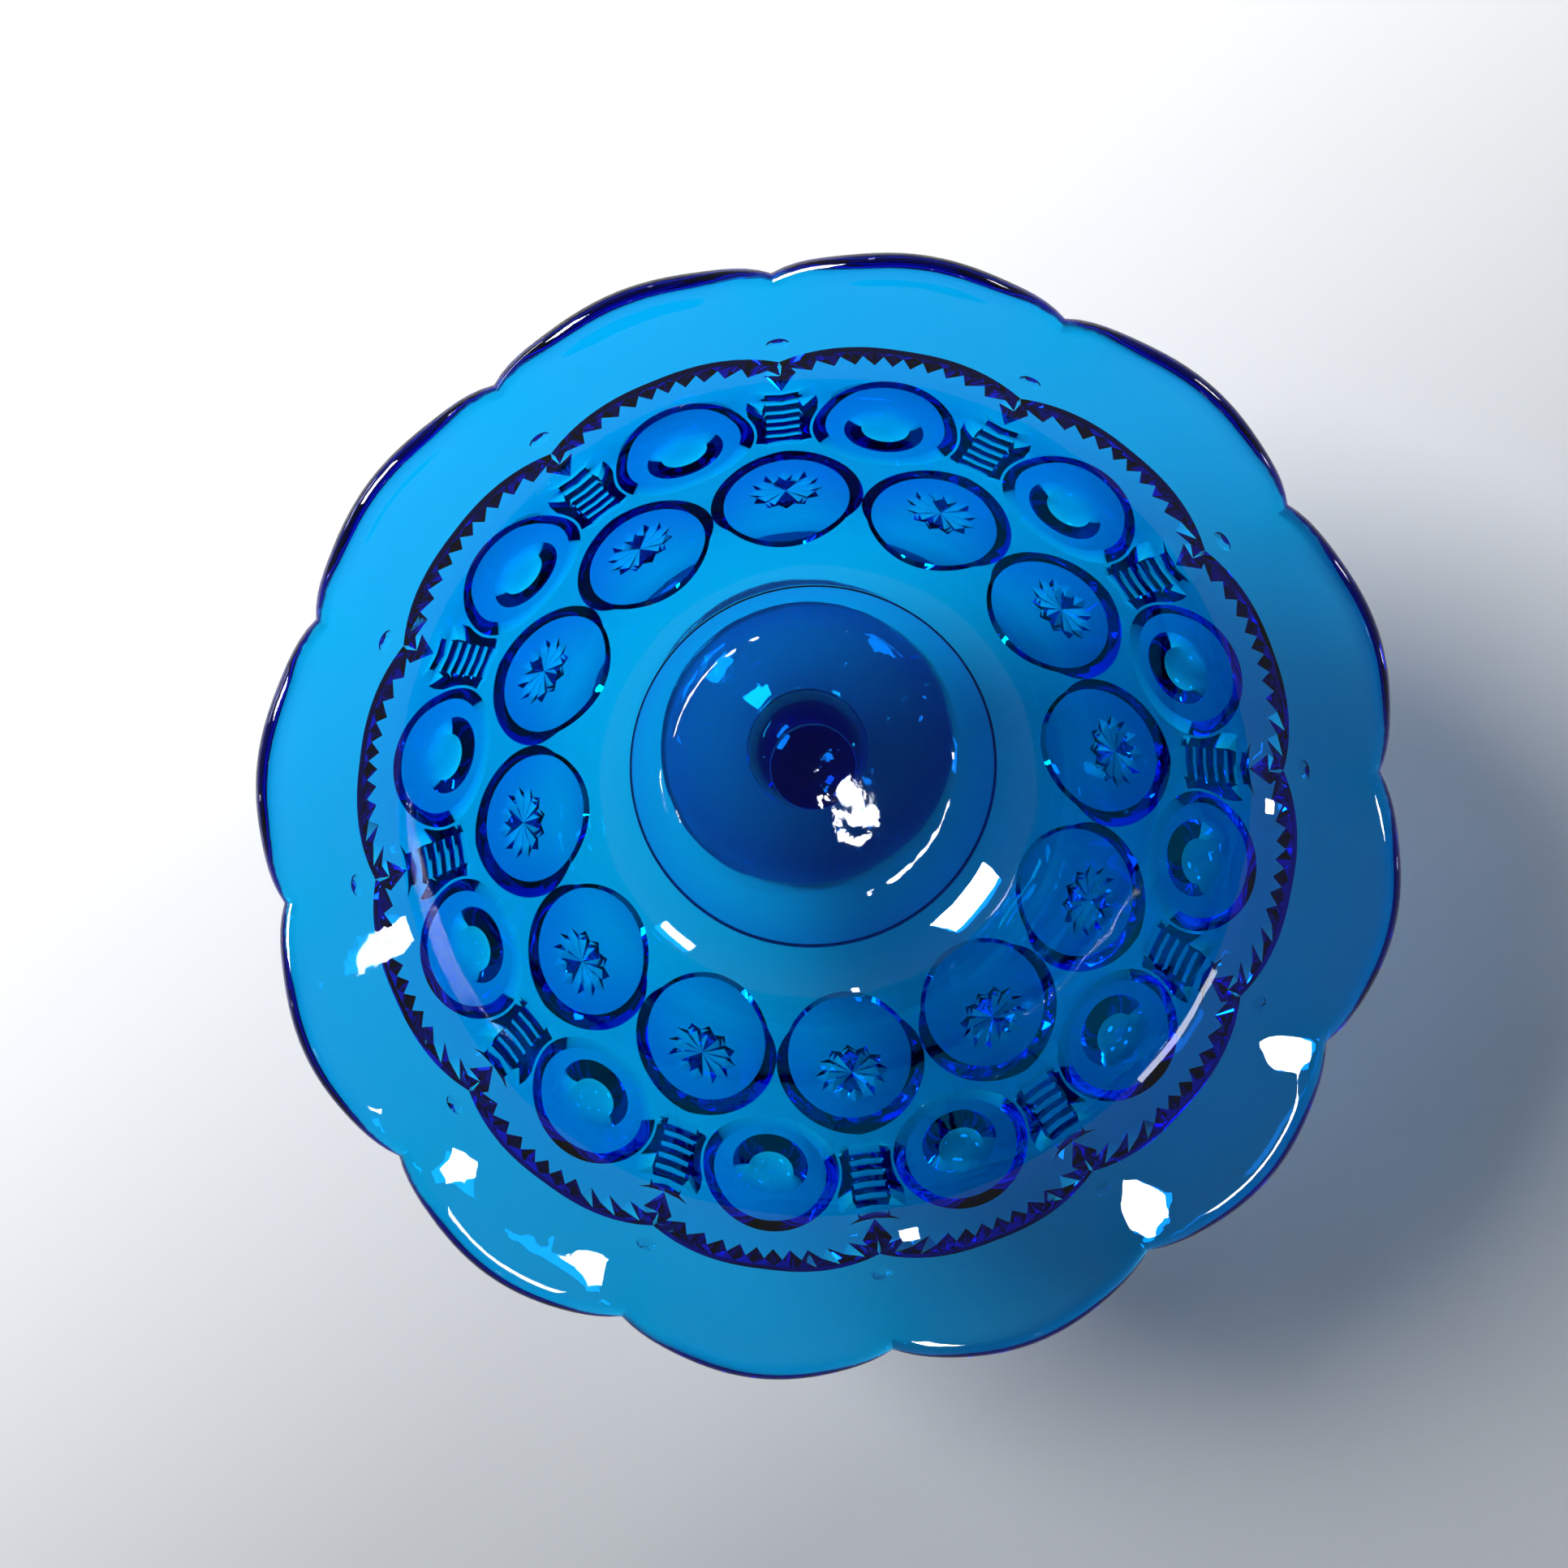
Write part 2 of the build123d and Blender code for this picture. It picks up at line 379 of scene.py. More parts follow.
def relief_cell(size, relief):
    outline = bowl_outline(size)
    cell = Cell(outline, size)
    half = cell.half
    low = outline.runs[1][0] + size.belly_curve * math.asin(
        (size.pad_radius - outline.runs[1][0]) / size.belly_curve
    )

    def high(angle):
        return outline.reach(rim_reach(size, angle) - 0.75)

    # Faces are flat, so their height off the curved wall is worked out from a plane.
    def plane(angle, along, proud, lean):
        point, heading = outline.at(along)
        out = Vector((math.sin(heading), 0, -math.cos(heading)))
        origin = Vector((point.x, 0, point.y)) + out * proud
        tilted = heading - lean
        normal = Vector((math.sin(tilted), 0, -math.cos(tilted)))

        def height(here, up):
            at, slope = outline.at(up)
            turn = here - angle
            spot = Vector((at.x * math.cos(turn), at.x * math.sin(turn), at.y))
            flat = math.sin(slope)
            way = Vector((flat * math.cos(turn), flat * math.sin(turn), -math.cos(slope)))
            return (origin - spot).dot(normal) / way.dot(normal)

        return height

    star_plane = plane(half, STAR_PLANE_AT, relief.star_proud, STAR_LEAN)
    moon_plane = plane(0.0, relief.moon_middle, relief.moon_proud, MOON_LEAN)

    def from_middle(angle, along, middle_angle, middle):
        point, heading = outline.at(middle)
        slant = point.x / math.cos(heading)
        turn = (angle - middle_angle) * math.cos(heading)
        far = slant + along - middle
        return far * math.sin(turn), far * math.cos(turn) - slant

    # Star disc, with its middle on the notch line.
    def star_slope(turn):
        """Width of the disc's slope: gentle towards the rim and almost upright towards the floor."""
        turns, widths = (0, 60, 90, 115, 180), (7.6, 4.9, 3.4, 1.0, 0.9)
        turn = abs(math.degrees(turn))
        for k in range(4):
            if turn <= turns[k + 1]:
                share = (turn - turns[k]) / (turns[k + 1] - turns[k])
                return widths[k] + (widths[k + 1] - widths[k]) * share
        return widths[-1]

    foot = []
    for k in range(49):
        turn = math.pi * k / 48
        across = (relief.star_face_across + star_slope(turn)) * math.sin(turn)
        up = (relief.star_face_up + star_slope(turn)) * math.cos(turn)
        foot.append(cell.around(half, relief.star_face_middle, -across, up))
    cell.line(foot, [0.0] * len(foot))
    face = half_circle(
        cell, half, relief.star_face_middle, relief.star_face_across, relief.star_face_up, 0, -math.pi, 42
    )
    cell.line(face, [star_plane(cell.angle(p), p.y) for p in face])

    def star_place(turn, reach, depth):
        place = cell.around(half, relief.star_centre, -reach * math.sin(turn), reach * math.cos(turn))
        return place, star_plane(cell.angle(place), place.y) - depth

    centre = star_place(0, 0, 0.7)
    grooves = [math.radians(30 * k) for k in range(7)]
    between = [math.radians(30 * k + 15) for k in range(6)]
    points = [star_place(turn, relief.star_radius, 0.0) for turn in grooves]
    deeps = [star_place(turn, relief.star_radius * 0.64, relief.star_depth) for turn in grooves]
    waists = [star_place(turn, relief.star_radius * 0.8, 0.0) for turn in between]
    ridges = [star_place(turn, relief.star_radius * 0.52, 0.6) for turn in between]
    for k in range(7):
        cell.line(*zip(centre, deeps[k], points[k]), step=2.0)
    for k in range(6):
        cell.line(*zip(centre, ridges[k], waists[k]), step=2.0)
        cell.line(*zip(points[k], waists[k], points[k + 1]), step=2.0)

    # Crescent disc, with its middle on the lobe line.
    def fan_level(turn):
        """Height of the ground round a crescent disc, by the turn from straight up the wall."""
        fade = min(max((math.degrees(turn) - 55) / 40, 0), 1)
        return relief.fan_proud * (1 - fade * fade * (3 - 2 * fade))

    radius = relief.moon_radius
    foot = half_circle(cell, 0, relief.moon_middle, radius, radius, 0, math.pi, 44)
    cell.line(foot, [fan_level(math.pi * k / 44) for k in range(45)])
    face = half_circle(
        cell, 0, relief.moon_face_middle, relief.moon_face_across, relief.moon_face_up, 0, math.pi, 40
    )
    cell.line(face, [moon_plane(cell.angle(p), p.y) for p in face])

    # The hollow falls to a ball that touches it on the rim side, so a crescent is left between them.
    radius = relief.hollow_radius
    ring = half_circle(cell, 0, relief.hollow_middle, radius, radius, 0, math.pi, 36)
    cell.line(ring, [moon_plane(cell.angle(p), p.y) for p in ring])
    ball_middle = relief.hollow_middle + relief.hollow_radius - relief.ball_radius - 0.3
    for share in (1.0, 0.88, 0.74, 0.58, 0.4, 0.2):
        steps = max(6, int(36 * share))
        radius = relief.ball_radius * share
        ring = half_circle(cell, 0, ball_middle, radius, radius, 0, math.pi, steps)
        levels = []
        for k, place in enumerate(ring):
            deep = min(max((180 * k / steps - 35) / 75, 0), 1)
            edge_depth = 0.1 + relief.hollow_depth * deep * deep * (3 - 2 * deep)
            depth = relief.ball_sunk + (edge_depth - relief.ball_sunk) * share**3
            levels.append(moon_plane(cell.angle(place), place.y) - depth)
        cell.line(ring, levels)

    # Fan of teeth that runs down to the border of the plain band.
    def border(turn):
        return 26.9 + 7.8 * (math.degrees(turn) / 52.0) ** 1.8

    def fan_place(turn, reach):
        return cell.around(0, relief.moon_middle, reach * math.sin(turn), reach * math.cos(turn))

    cusp = math.radians(52.0)
    teeth = int(cusp / relief.teeth_pitch)
    edge, inner, outer = [], [], []
    for k in range(2 * teeth + 1):
        turn = k * relief.teeth_pitch / 2
        share = turn / cusp
        reach = border(turn) - (2.9 + 0.8 * share if k % 2 == 0 else 5.4 + 1.0 * share)
        edge.append(fan_place(turn, reach))
        inner.append(fan_place(turn, border(turn) - 0.6))
        outer.append(fan_place(turn, border(turn)))
    notch_along = relief.moon_middle + 21.3
    low_notch = cell.flat(half, notch_along - 1.2)
    top_notch = cell.flat(half, notch_along)
    cell.line(edge, [relief.fan_proud] * len(edge), step=9)
    cell.line(inner + [low_notch], [-relief.fan_sunk] * (len(inner) + 1), step=9)
    cell.line(outer + [top_notch], [0.0] * (len(outer) + 1), step=1.6)
    for a, b in zip(edge[1:], inner[1:]):
        cell.line([a, b], [relief.fan_proud, -relief.fan_sunk], step=9)

    # Ladder of short bars between two fans, with a trench on each side of it.
    bars_low, bars_high = relief.moon_middle - 7.6, relief.moon_middle + 14.2
    strip, bar_pitch = 3.9, 3.6     # half the ladder's width, and the step from bar to bar

    def strip_place(along):
        return cell.flat(half - strip / outline.at(along)[0].x, along)

    bar_level, gap_level = 0.6, -0.3
    side_places, side_levels = [], []
    bar = bars_low + 0.6
    side_places.append(strip_place(bars_low))
    side_levels.append(bar_level)
    while bar < bars_high - 3.2:
        for step, level in ((1.1, bar_level), (3.3, gap_level), (bar_pitch, bar_level)):
            along = bar + step
            side_places.append(strip_place(along))
            side_levels.append(level)
            cell.line([strip_place(along), cell.flat(half, along - 0.5)], [level, level], step=9)
        bar += bar_pitch
    side_places.append(strip_place(bars_high))
    side_levels.append(bar_level)
    cell.line(side_places, side_levels, step=9)
    cell.line([strip_place(bars_low), cell.flat(half, bars_low + 0.6)], [bar_level, bar_level], step=9)
    cell.line([strip_place(bars_low) - Vector((0.5, 1.0)), cell.flat(half, bars_low - 0.6)], [0, 0], step=9)
    cell.line([strip_place(bars_high), cell.flat(half, bars_high)], [bar_level, bar_level], step=9)

    # The fan hugs the disc beside the ladder, then falls into the trench.
    hug_reaches = [(55, 22.6), (62, 19.4), (70, 18.0)]
    hug_reaches += [(turn, 17.9) for turn in range(77, 113, 7)]
    hug = [fan_place(math.radians(t), reach) for t, reach in hug_reaches]
    hug_levels = [fan_level(math.radians(t)) for t, _ in hug_reaches]
    touch = cell.around(half, DISC_CORNER, -14.6, 16.0)
    hug.append(touch)
    hug_levels.append(0.0)
    cell.line([edge[-1]] + hug, [relief.fan_proud] + hug_levels, step=2.2)
    cell.line([hug[0], strip_place(bars_high)], [relief.fan_proud, bar_level], step=9)
    low_corner = strip_place(bars_low) - Vector((0.5, 1.0))
    cell.line([touch, low_corner], [0.0, 0.0], step=2.2)
    spine = []
    for place in hug[1:-1]:
        spine.append(place.lerp(strip_place(place.y), 0.8))
    cell.line(spine, [-1.2] + [-1.8] * (len(spine) - 2) + [-1.0], step=2.2)

    # Plain places: everything that isn't on a slope.
    def ground(angle, along):
        if along > 149.5:
            across, up = from_middle(angle, along, half, LENS_AT)
            return None if (across / 2.8) ** 2 + (up / 1.6) ** 2 < 1.0 else 0.0
        across, up = from_middle(angle, along, half, relief.star_face_middle)
        slope = star_slope(math.atan2(across / relief.star_face_across, up / relief.star_face_up))
        wide, tall = relief.star_face_across + slope, relief.star_face_up + slope
        if (across / wide) ** 2 + (up / tall) ** 2 < 1.0:
            if (across / relief.star_face_across) ** 2 + (up / relief.star_face_up) ** 2 > 1.0:
                return None
            star = from_middle(angle, along, half, relief.star_centre)
            return None if math.hypot(*star) < relief.star_radius * 1.02 else star_plane(angle, along)
        across, up = from_middle(angle, along, 0.0, relief.moon_middle)
        reach, turn = math.hypot(across, up), math.atan2(abs(across), up)
        if reach < relief.moon_radius:
            across, up = from_middle(angle, along, 0.0, relief.moon_face_middle)
            if (across / relief.moon_face_across) ** 2 + (up / relief.moon_face_up) ** 2 > 1.0:
                return None
            hollow = math.hypot(*from_middle(angle, along, 0.0, relief.hollow_middle))
            return None if hollow < relief.hollow_radius else moon_plane(angle, along)
        if along < 107.0:
            return 0.0
        if turn < cusp:
            if reach > border(turn) + 0.2:
                return 0.0
            return relief.fan_proud if reach < border(turn) - 8.2 else None
        if along > notch_along + 0.3:
            return 0.0
        return None if turn < math.radians(128) else 0.0

    # A small lens stands on the flare above each notch, where the mould's parts met.
    lens = half_circle(cell, half, LENS_AT, *LENS_HALF, 0, -math.pi, 10)
    cell.line(lens, [0.0] * len(lens))
    cell.line([cell.around(half, LENS_AT, -1.6, 0), cell.flat(half, LENS_AT)], [0.65, 0.65], step=9)

    lip = [cell.flat(half * k / 12, high(half * k / 12)) for k in range(13)]
    pad = [cell.flat(half * k / 6, low) for k in range(7)]
    cell.line(lip, [0.0] * 13, step=9)
    cell.line(pad, [0.0] * 7, step=9)
    cell.close_sides(low, high, ground)
    cell.fill(low, high, ground, 1.7)
    return cell, outline, low, high


# ---------------------------------------------------------------- finishing helpers


def ring_of(mesh, choose):
    """Boundary edges whose corners both pass a test."""
    return [e for e in mesh.edges if e.is_boundary and all(choose(v) for v in e.verts)]


def extrude_ring(mesh, edges, place):
    """Extrudes a ring of edges and moves each new corner to place(angle)."""
    made = bmesh.ops.extrude_edge_only(mesh, edges=edges)["geom"]
    for corner in (g for g in made if isinstance(g, bmesh.types.BMVert)):
        corner.co = place(math.atan2(corner.co.y, corner.co.x))
    return [g for g in made if isinstance(g, bmesh.types.BMEdge) and g.is_boundary]


def finish_piece(name, mesh, material, node, sharp):
    """Turns a bmesh in millimetres into a finished, shaded piece that stands for its CAD node."""
    bmesh.ops.remove_doubles(mesh, verts=mesh.verts, dist=1e-3)
    bmesh.ops.dissolve_degenerate(mesh, edges=mesh.edges, dist=1e-4)
    bmesh.ops.triangulate(mesh, faces=[f for f in mesh.faces if len(f.verts) > 4])
    bmesh.ops.scale(mesh, vec=(MM, MM, MM), verts=mesh.verts)
    bmesh.ops.recalc_face_normals(mesh, faces=mesh.faces)
    for face in mesh.faces:
        face.smooth = True
    for edge in mesh.edges:
        edge.smooth = edge.is_manifold and edge.calc_face_angle(0.0) < sharp
    loose = [e for e in mesh.edges if not e.is_manifold]
    if loose:
        raise ValueError(f"{name} isn't closed: {len(loose)} open edges")
    data = bpy.data.meshes.new(name)
    mesh.to_mesh(data)
    mesh.free()
    data.materials.append(material)
    piece = bpy.data.objects.new(name, data)
    bpy.context.collection.objects.link(piece)
    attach(piece, BODY)
    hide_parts(node)
    return piece


def turned(section, steps):
    """A closed solid of revolution from (radius, height) corners that start and end on the axis."""
    mesh = bmesh.new()
    corners = [mesh.verts.new((radius, 0.0, height)) for radius, height in section]
    edges = [mesh.edges.new(pair) for pair in zip(corners, corners[1:])]
    bmesh.ops.spin(
        mesh, geom=corners + edges, axis=(0, 0, 1), cent=(0, 0, 0), steps=steps,
        angle=2 * math.pi, use_merge=True,
    )
    return mesh


def curve_between(start, end, lean_start, lean_end, steps):
    """Points of a smooth curve with a given lean at each end."""
    (x0, y0), (x1, y1) = start, end
    points = []
    for k in range(steps + 1):
        t = k / steps
        a, b = 2 * t**3 - 3 * t**2 + 1, t**3 - 2 * t**2 + t
        c, d = -2 * t**3 + 3 * t**2, t**3 - t**2
        points.append(
            (
                a * x0 + b * lean_start[0] + c * x1 + d * lean_end[0],
                a * y0 + b * lean_start[1] + c * y1 + d * lean_end[1],
            )
        )
    return points


# ---------------------------------------------------------------- materials


def add(tree, kind, links=(), **settings):
    """Adds a node; settings name its properties or inputs, and links join (input, output) pairs."""
    node = tree.nodes.new(kind)
    for name, value in settings.items():
        if hasattr(node, name):
            setattr(node, name, value)
        else:
            node.inputs[name.replace("_", " ")].default_value = value
    for name, output in links:
        tree.links.new(node.inputs[name], output)
    return node


def pressed_glass(name, ripple_height, ripples, chill, depth_share=1.0):
    """Solid blue pressed glass, fire polished: clear, with the faint ripple the mould leaves."""
    finish = bpy.context.scene.glass_finish
    material = bpy.data.materials.new(name)
    material.use_nodes = True
    tree = material.node_tree
    tree.nodes.clear()
    place = add(tree, "ShaderNodeTexCoord").outputs["Object"]
    # Slow ripple of the fire polish, a few millimetres long.
    ripple = add(
        tree, "ShaderNodeTexNoise", [("Vector", place)], Scale=ripples, Detail=1.5, Roughness=0.45
    )
    # Chill marks where the hot glass first met the mould: finer and flatter.
    chilled = add(
        tree, "ShaderNodeTexNoise", [("Vector", place)], Scale=420.0, Detail=2.0, Roughness=0.5
    )
    bump = add(
        tree, "ShaderNodeBump", [("Height", ripple.outputs["Fac"])],
        Strength=1.0, Distance=ripple_height,
    )
    fine = add(
        tree, "ShaderNodeBump", [("Height", chilled.outputs["Fac"]), ("Normal", bump.outputs["Normal"])],
        Strength=1.0, Distance=chill,
    )
    # Handling has left the surface a touch less bright in patches.
    dull = add(tree, "ShaderNodeTexNoise", [("Vector", place)], Scale=38.0, Detail=3.0)
    rough = add(
        tree, "ShaderNodeMapRange", [("Value", dull.outputs["Fac"])],
        From_Min=0.4, From_Max=0.75, To_Min=0.0, To_Max=0.035,
    )
    glass = add(
        tree, "ShaderNodeBsdfPrincipled",
        [("Roughness", rough.outputs["Result"]), ("Normal", fine.outputs["Normal"])],
        IOR=finish.index, Base_Color=(0.97, 0.985, 0.99, 1.0), Transmission_Weight=1.0,
    )
    # A depth_share below 1 thins the absorption. On the foot this is painted light: the glass shows
    # lighter, standing in for light the table under it lacks.
    depth = add(
        tree, "ShaderNodeVolumeAbsorption",
        Density=finish.strength * depth_share, Color=(*finish.tint, 1.0),
    )
    add(
        tree, "ShaderNodeOutputMaterial",
        [("Surface", glass.outputs["BSDF"]), ("Volume", depth.outputs["Volume"])],
    )
    return material


def white_board():
    """Matt white table board, with painted light: its colour is lighter near the window and darker away
    from it.
    """
    finish = bpy.context.scene.glass_finish
    material = bpy.data.materials.new("white laminate board")
    material.use_nodes = True
    tree = material.node_tree
    tree.nodes.clear()
    place = add(tree, "ShaderNodeTexCoord").outputs["Object"]
    parts = add(tree, "ShaderNodeSeparateXYZ", [("Vector", place)])
    slant = add(
        tree, "ShaderNodeMath", [(0, parts.outputs["X"]), (1, parts.outputs["Y"])], operation="SUBTRACT"
    )
    across = add(
        tree, "ShaderNodeMapRange", [("Value", slant.outputs["Value"])],
        From_Min=-0.30, From_Max=0.30, To_Min=0.0, To_Max=1.0,
    )
    # Painted light: the base colour blends from the lit colour to the shaded colour across the board,
    # standing in for the window's fall-off.
    mix = add(tree, "ShaderNodeMix", [("Factor", across.outputs["Result"])], data_type="RGBA")
    mix.inputs[6].default_value = (*finish.table_light, 1.0)
    mix.inputs[7].default_value = (*finish.table_shade, 1.0)
    board = add(tree, "ShaderNodeBsdfPrincipled", [("Base Color", mix.outputs[2])], Roughness=0.55)
    add(tree, "ShaderNodeOutputMaterial", [("Surface", board.outputs["BSDF"])])
    return material


# ---------------------------------------------------------------- operators


class BOWL_OT_bowl(bpy.types.Operator):
    """Build the pressed bowl with its scalloped rim and its discs"""

    bl_idname = "glassbowl.bowl"
    bl_label = "Build bowl"

    def execute(self, context):
        size, relief = in_mm(context.scene.bowl_sizes), in_mm(context.scene.relief_sizes)
        cell, outline, low, high = relief_cell(size, relief)
        mesh = cell.mesh(lambda angle, along, out: on_wall(outline, size, angle, along, out))
        whole = [*mesh.verts, *mesh.edges, *mesh.faces]
        bmesh.ops.mirror(mesh, geom=whole, axis="Y", merge_dist=1e-4)
        whole = [*mesh.verts, *mesh.edges, *mesh.faces]
        bmesh.ops.spin(
            mesh, geom=whole, axis=(0, 0, 1), cent=(0, 0, 0), steps=size.lobes - 1,
            angle=2 * math.pi * (1 - 1 / size.lobes), use_duplicate=True,
        )
        bmesh.ops.remove_doubles(mesh, verts=mesh.verts, dist=1e-3)

        # Half-round lip, then the smooth inside down to the middle of the floor.
        edges = ring_of(mesh, lambda v: v.co.z > size.base + size.height * 0.7)
        half = size.wall / 2

        def lip(turn):
            def place(angle):
                edge = high(self.cell_angle(size, angle))
                out = -half + half * math.cos(turn)
                return on_wall(outline, size, angle, edge, out) + self.forward(outline, edge, angle) * (
                    half * math.sin(turn)
                )

            return place

        for k in range(1, 9):
            edges = extrude_ring(mesh, edges, lip(math.pi * k / 8))
        inside_top, row_step, row_count, rim_rows = 165, 2.2, 74, 8
        for k in range(row_count):
            along = inside_top - row_step * k
            share = max(0.0, 1 - (k + 1) / rim_rows)

            def inside(angle):
                follow = high(self.cell_angle(size, angle)) - inside_top - 2
                return on_wall(outline, size, angle, along + follow * share, -size.wall)

            edges = extrude_ring(mesh, edges, inside)
        bmesh.ops.edgeloop_fill(mesh, edges=edges)

        # Pad that squares off the underside.
        edges = ring_of(mesh, lambda v: v.co.z < size.base + 10)
        bottom = size.base - size.pad_height + AIR
        bevel = 0.3
        rings = [(size.pad_radius, bottom + bevel), (size.pad_radius - bevel, bottom)]
        rings += [(30, bottom), (12, bottom)]
        for reach, height in rings:
            edges = extrude_ring(
                mesh, edges, lambda a: Vector((reach * math.cos(a), reach * math.sin(a), height))
            )
        bmesh.ops.edgeloop_fill(mesh, edges=edges)
        material = pressed_glass("pressed blue glass of the bowl", 0.00009, 85.0, 0.000004)
        finish_piece("pressed_bowl", mesh, material, "bowl", math.radians(24))
        return {"FINISHED"}

    @staticmethod
    def cell_angle(size, angle):
        """Angle from the nearest lobe's middle."""
        half = math.pi / size.lobes
        return abs((angle + half) % (2 * half) - half)

    @staticmethod
    def forward(outline, along, angle):
        """Unit vector up the wall at an angle."""
        heading = outline.at(along)[1]
        flat = math.cos(heading)
        return Vector((flat * math.cos(angle), flat * math.sin(angle), math.sin(heading)))


class BOWL_OT_stem(bpy.types.Operator):
    """Build the wafer, the knopped stem and the foot"""

    bl_idname = "glassbowl.stem"
    bl_label = "Build stem and foot"

    def execute(self, context):
        size = in_mm(context.scene.stem_sizes)
        glass = pressed_glass("pressed blue glass of the stem", 0.00012, 85.0, 0.000004)
        # The foot's glass takes half the absorption, so it shows lighter blue: painted light standing in
        # for light that doesn't reach the table under the foot.
        foot_glass = pressed_glass("wavy pressed glass of the foot", 0.0012, 62.0, 0.000004, 0.5)
        top = size.foot_height + size.height

        low, high = top + AIR, top + size.wafer_height - AIR
        section = [(0, low), (size.wafer_radius - 0.4, low), (size.wafer_radius, low + 0.4)]
        section += [(size.wafer_radius, high - 0.4), (size.wafer_radius - 0.4, high), (0, high)]
        finish_piece(
            "wafer_of_glass", turned(section, 96), glass, "joining_wafer", math.radians(50)
        )

        start = size.foot_height + AIR
        knop_low = size.foot_height + size.knop_along - size.knop_height / 2
        knop_high = knop_low + size.knop_height
        section = [(0, start)]
        section += curve_between(
            (size.collar_radius, start), (size.neck_radius, knop_low), (-9, 14), (0, 12), 14
        )
        bulge = size.knop_radius - size.neck_radius
        ball = (size.knop_height**2 / 4 + bulge**2) / (2 * bulge)
        for k in range(1, 24):
            height = knop_low + size.knop_height * k / 24
            off = height - (knop_low + size.knop_height / 2)
            section.append((size.knop_radius - ball + math.sqrt(ball**2 - off**2), height))
        section += curve_between(
            (size.neck_radius, knop_high), (size.wafer_radius, top - AIR), (0, 14), (5, 14), 14
        )
        section.append((0, top - AIR))
        finish_piece("knopped_stem", turned(section, 128), glass, "stem", math.radians(35))

        inner = size.foot_radius - size.base_ring
        ball = (inner**2 + size.base_hollow**2) / (2 * size.base_hollow)
        section = [(0, size.base_hollow)]
        for k in range(1, 17):
            reach = inner * k / 16
            section.append((reach, size.base_hollow - ball + math.sqrt(ball**2 - reach**2)))
        rounding = size.edge_round
        for k in range(7):
            turn = math.pi / 2 * k / 6
            section.append(
                (
                    size.foot_radius - rounding + rounding * math.sin(turn),
                    rounding - rounding * math.cos(turn),
                )
            )
        for k in range(7):
            turn = math.pi / 2 * k / 6
            section.append(
                (
                    size.foot_radius - rounding + rounding * math.cos(turn),
                    size.foot_edge - rounding + rounding * math.sin(turn),
                )
            )
        dome = curve_between(
            (size.collar_radius, size.foot_height - AIR), (section[-1][0], size.foot_edge),
            (14, -12), (40, -5), 30,
        )
        section += list(reversed(dome))[1:]
        section.append((0, size.foot_height - AIR))
        finish_piece("domed_foot", turned(section, 192), foot_glass, "foot", math.radians(35))
        return {"FINISHED"}


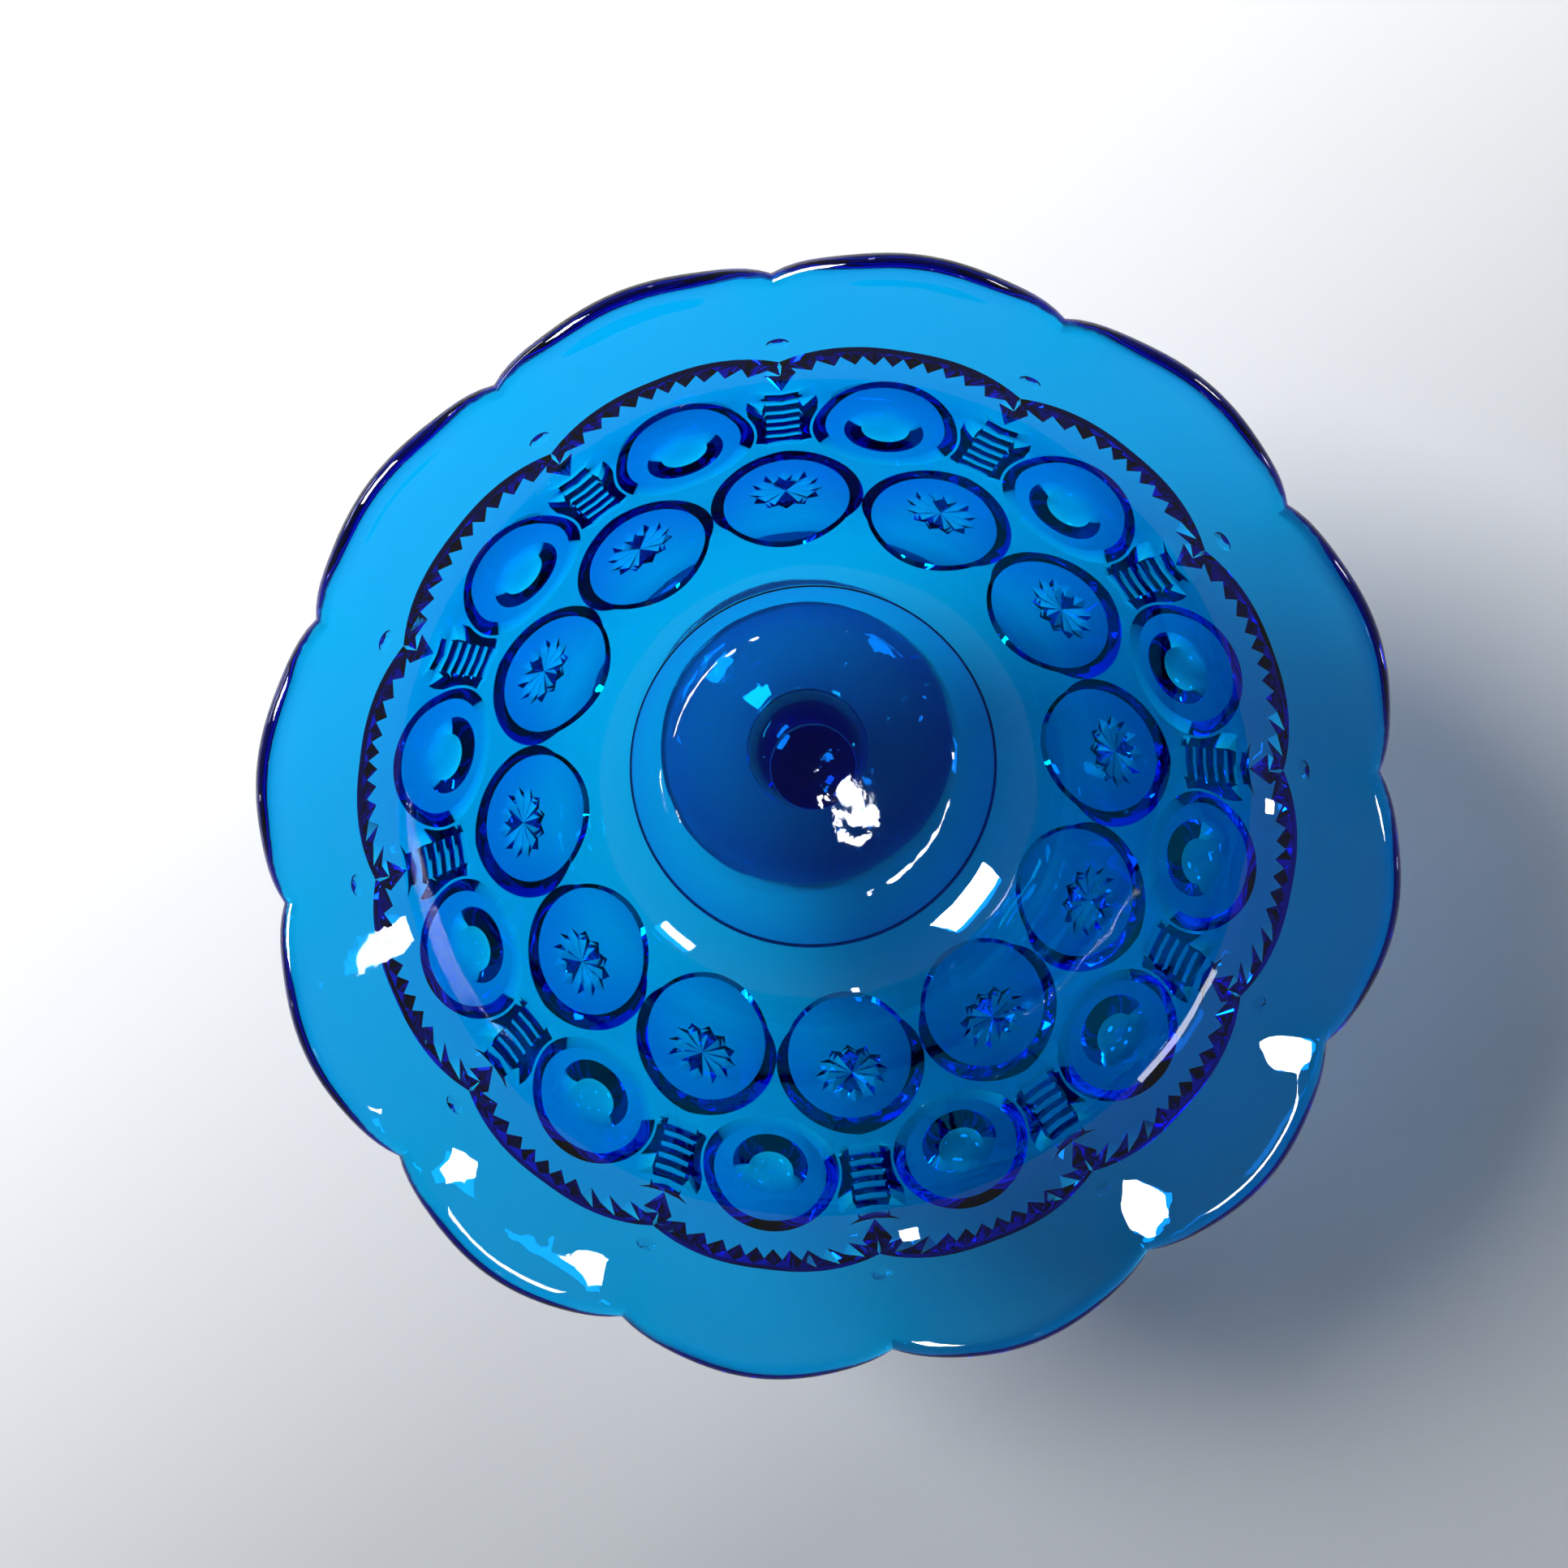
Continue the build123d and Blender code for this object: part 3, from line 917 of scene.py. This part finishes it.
class BOWL_OT_stage(bpy.types.Operator):
    """Set up the board, the light and the camera"""

    bl_idname = "glassbowl.stage"
    bl_label = "Build stage"

    def execute(self, context):
        scene = context.scene
        mesh = bmesh.new()
        bmesh.ops.create_grid(mesh, x_segments=1, y_segments=1, size=1.6)
        data = bpy.data.meshes.new("board")
        mesh.to_mesh(data)
        mesh.free()
        data.materials.append(white_board())
        floor = bpy.data.objects.new("board", data)
        floor.location.z = -0.3 * MM
        scene.collection.objects.link(floor)

        self.world(scene)
        # Name, azimuth, elevation and distance from the bowl, width, height, brightness, colour
        lamps = [
            ("window", 156, 46, 1.9, 0.62, 0.62, 42.0, "#FAFBFF"),
            ("far window", 48, 33, 2.0, 0.34, 0.26, 26.0, "#FFFFFF"),
            ("ceiling strip", -60, 78, 1.9, 0.03, 0.06, 30.0, "#FFFFFF"),
            ("second strip", -30, 75, 1.9, 0.03, 0.05, 30.0, "#FFFFFF"),
            ("door", 10, 17, 2.0, 0.14, 0.3, 22.0, "#FFFFFF"),
            ("low window", 165, 11, 2.4, 0.9, 0.25, 10.0, "#FFFFFF"),
            ("side lamp", 108, 29, 1.9, 0.07, 0.14, 30.0, "#FFFFFF"),
            ("side lamp 2", -157, 21, 1.9, 0.07, 0.10, 30.0, "#FFFFFF"),
        ]
        middle = Vector((0, 0, 0.12))
        for name, azimuth, elevation, far, wide, tall, bright, code in lamps:
            lamp = bpy.data.lights.new(name, "AREA")
            lamp.shape, lamp.size, lamp.size_y = "RECTANGLE", wide, tall
            lamp.energy, lamp.color = bright * wide * tall * math.pi, linear(code)
            item = bpy.data.objects.new(name, lamp)
            turn, rise = math.radians(azimuth), math.radians(elevation)
            flat = aim(turn) * math.cos(rise)
            way = Vector((flat.x, flat.y, math.sin(rise)))
            item.location = middle + way * far
            item.rotation_euler = (-way).to_track_quat("-Z", "Y").to_euler()
            scene.collection.objects.link(item)

        camera = bpy.data.objects.new("camera", bpy.data.cameras.new("camera"))
        camera.data.lens = 48.8
        camera.data.sensor_width = 36.0
        tilt_axis = Vector((10.17, 2.24, 0)).normalized()
        look = Matrix.Rotation(math.radians(10.4140), 3, tilt_axis).transposed()
        turn = Matrix.Rotation(math.radians(8.25), 3, "Z")
        place = turn @ (Vector((-29.6, 94.8, 624.6)) * MM)
        camera.matrix_world = Matrix.Translation(place) @ (turn @ look).to_4x4()
        scene.collection.objects.link(camera)
        scene.camera = camera
        scene.view_settings.view_transform = "Standard"
        scene.cycles.sample_clamp_indirect = 0.0
        scene.cycles.max_bounces = 28
        scene.cycles.transmission_bounces = 24
        scene.cycles.glossy_bounces = 8
        return {"FINISHED"}

    @staticmethod
    def world(scene):
        """Soft room light, lightest at and below the horizon and darker towards the zenith."""
        world = bpy.data.worlds.new("soft room")
        world.use_nodes = True
        tree = world.node_tree
        tree.nodes.clear()
        way = add(tree, "ShaderNodeTexCoord").outputs["Generated"]
        parts = add(tree, "ShaderNodeSeparateXYZ", [("Vector", way)])
        ramp = add(tree, "ShaderNodeValToRGB", [("Fac", parts.outputs["Z"])])
        ramp.color_ramp.elements[0].position = 0.0
        ramp.color_ramp.elements[0].color = (*linear("#8E9299"), 1.0)
        ramp.color_ramp.elements[1].position = 0.9
        ramp.color_ramp.elements[1].color = (*linear("#3C3F44"), 1.0)
        middle = ramp.color_ramp.elements.new(0.55)
        middle.color = (*linear("#6E7278"), 1.0)
        shine = add(tree, "ShaderNodeBackground", [("Color", ramp.outputs["Color"])], Strength=1.0)
        add(tree, "ShaderNodeOutputWorld", [("Surface", shine.outputs["Background"])])
        scene.world = world


class BOWL_PT_panel(bpy.types.Panel):
    """Buttons for the bowl's pieces"""

    bl_idname = "BOWL_PT_panel"
    bl_label = "Glass bowl"
    bl_space_type = "VIEW_3D"
    bl_region_type = "UI"
    bl_category = "Glass bowl"

    def draw(self, context):
        for kind in OPERATORS:
            self.layout.operator(kind.bl_idname)
        for group in GROUPS:
            held = getattr(context.scene, group)
            for name in GROUPS[group].__annotations__:
                self.layout.prop(held, name)


OPERATORS = [BOWL_OT_bowl, BOWL_OT_stem, BOWL_OT_stage]
GROUPS = {
    "bowl_sizes": BowlSizes,
    "relief_sizes": ReliefSizes,
    "stem_sizes": StemSizes,
    "glass_finish": GlassFinish,
}


def register():
    for kind in [*GROUPS.values(), *OPERATORS, BOWL_PT_panel]:
        bpy.utils.register_class(kind)
    for name, kind in GROUPS.items():
        setattr(bpy.types.Scene, name, PointerProperty(type=kind))


def unregister():
    for name in GROUPS:
        delattr(bpy.types.Scene, name)
    for kind in reversed([*GROUPS.values(), *OPERATORS, BOWL_PT_panel]):
        bpy.utils.unregister_class(kind)


def main():
    register()
    bpy.ops.glassbowl.bowl()
    bpy.ops.glassbowl.stem()
    bpy.ops.glassbowl.stage()


if __name__ == "__main__":
    main()
